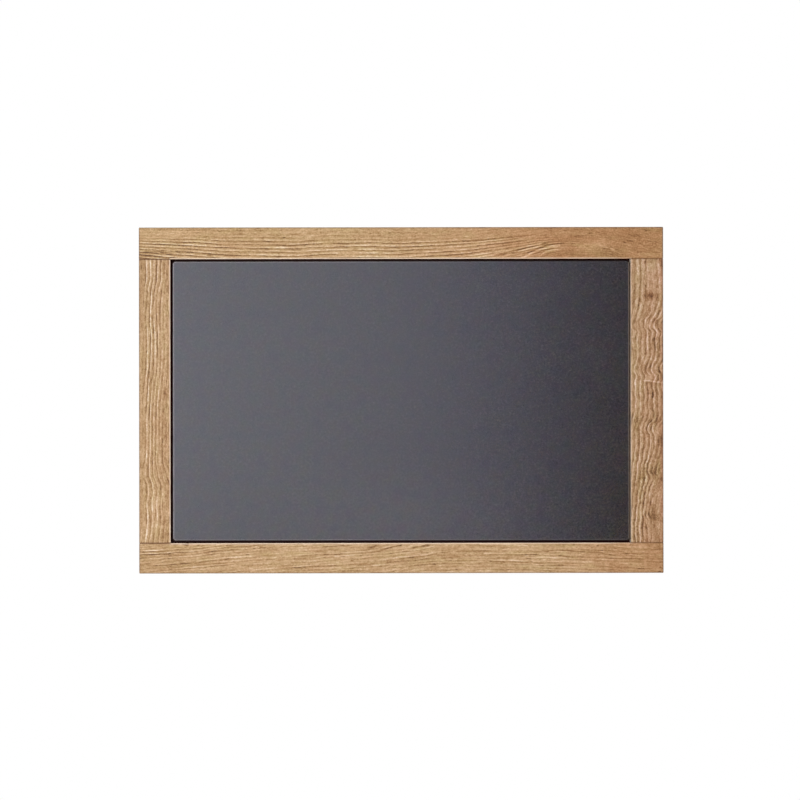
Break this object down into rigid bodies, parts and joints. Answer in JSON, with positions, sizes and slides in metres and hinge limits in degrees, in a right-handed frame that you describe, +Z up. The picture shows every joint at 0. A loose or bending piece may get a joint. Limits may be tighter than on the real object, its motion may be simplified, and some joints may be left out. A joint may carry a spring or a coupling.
{
  "type": "wall chalkboard",
  "caption": "Wall chalkboard: dark grey coated steel writing panel in a butt-jointed light wood frame, plywood back held by turn buttons, keyhole plates for hanging.",
  "frame": {"origin": "midway between the two keyhole entry holes, on the back plane of the wood frame", "axes": "+X to the right seen from the front, +Y towards the wall, +Z up"},
  "size_m": [0.6, 0.023, 0.396],
  "materials": {
    "frame_wood": "satin",
    "dowel_wood": "matte",
    "slate_coat": "satin",
    "fibreboard": "matte",
    "plywood": "matte",
    "zinc_steel": "satin",
    "black_rubber": "matte"
  },
  "bodies": {
    "frame": {"top_rail": "frame_wood", "bottom_rail": "frame_wood", "left_stile": "frame_wood", "right_stile": "frame_wood", "corner_dowels": "dowel_wood", "chalkboard_sheet": "slate_coat", "board_core": "fibreboard", "back_board": "plywood", "core_screws": "zinc_steel", "turn_button_screws": "zinc_steel", "hanger_plate_left": "zinc_steel", "hanger_plate_right": "zinc_steel", "hanger_screws": "zinc_steel", "wall_bumpers": "black_rubber"},
    "turn_button_top_left": {"turn_button_top_left": "zinc_steel"},
    "turn_button_top_right": {"turn_button_top_right": "zinc_steel"},
    "turn_button_bottom_left": {"turn_button_bottom_left": "zinc_steel"},
    "turn_button_bottom_right": {"turn_button_bottom_right": "zinc_steel"},
    "turn_button_left": {"turn_button_left": "zinc_steel"},
    "turn_button_right": {"turn_button_right": "zinc_steel"}
  },
  "joints": [
    {"name": "turn_button_top_left_turn", "type": "hinge", "parent": "frame", "child": "turn_button_top_left", "pos_m": [-0.12, 0.00095, -0.001], "axis": [0, 1, 0], "continuous": true},
    {"name": "turn_button_top_right_turn", "type": "hinge", "parent": "frame", "child": "turn_button_top_right", "pos_m": [0.12, 0.00095, -0.001], "axis": [0, 1, 0], "continuous": true},
    {"name": "turn_button_bottom_left_turn", "type": "hinge", "parent": "frame", "child": "turn_button_bottom_left", "pos_m": [-0.12, 0.00095, -0.3615], "axis": [0, 1, 0], "continuous": true},
    {"name": "turn_button_bottom_right_turn", "type": "hinge", "parent": "frame", "child": "turn_button_bottom_right", "pos_m": [0.12, 0.00095, -0.3615], "axis": [0, 1, 0], "continuous": true},
    {"name": "turn_button_left_turn", "type": "hinge", "parent": "frame", "child": "turn_button_left", "pos_m": [-0.282, 0.00095, -0.1818], "axis": [0, 1, 0], "continuous": true},
    {"name": "turn_button_right_turn", "type": "hinge", "parent": "frame", "child": "turn_button_right", "pos_m": [0.282, 0.00095, -0.1818], "axis": [0, 1, 0], "continuous": true}
  ]
}
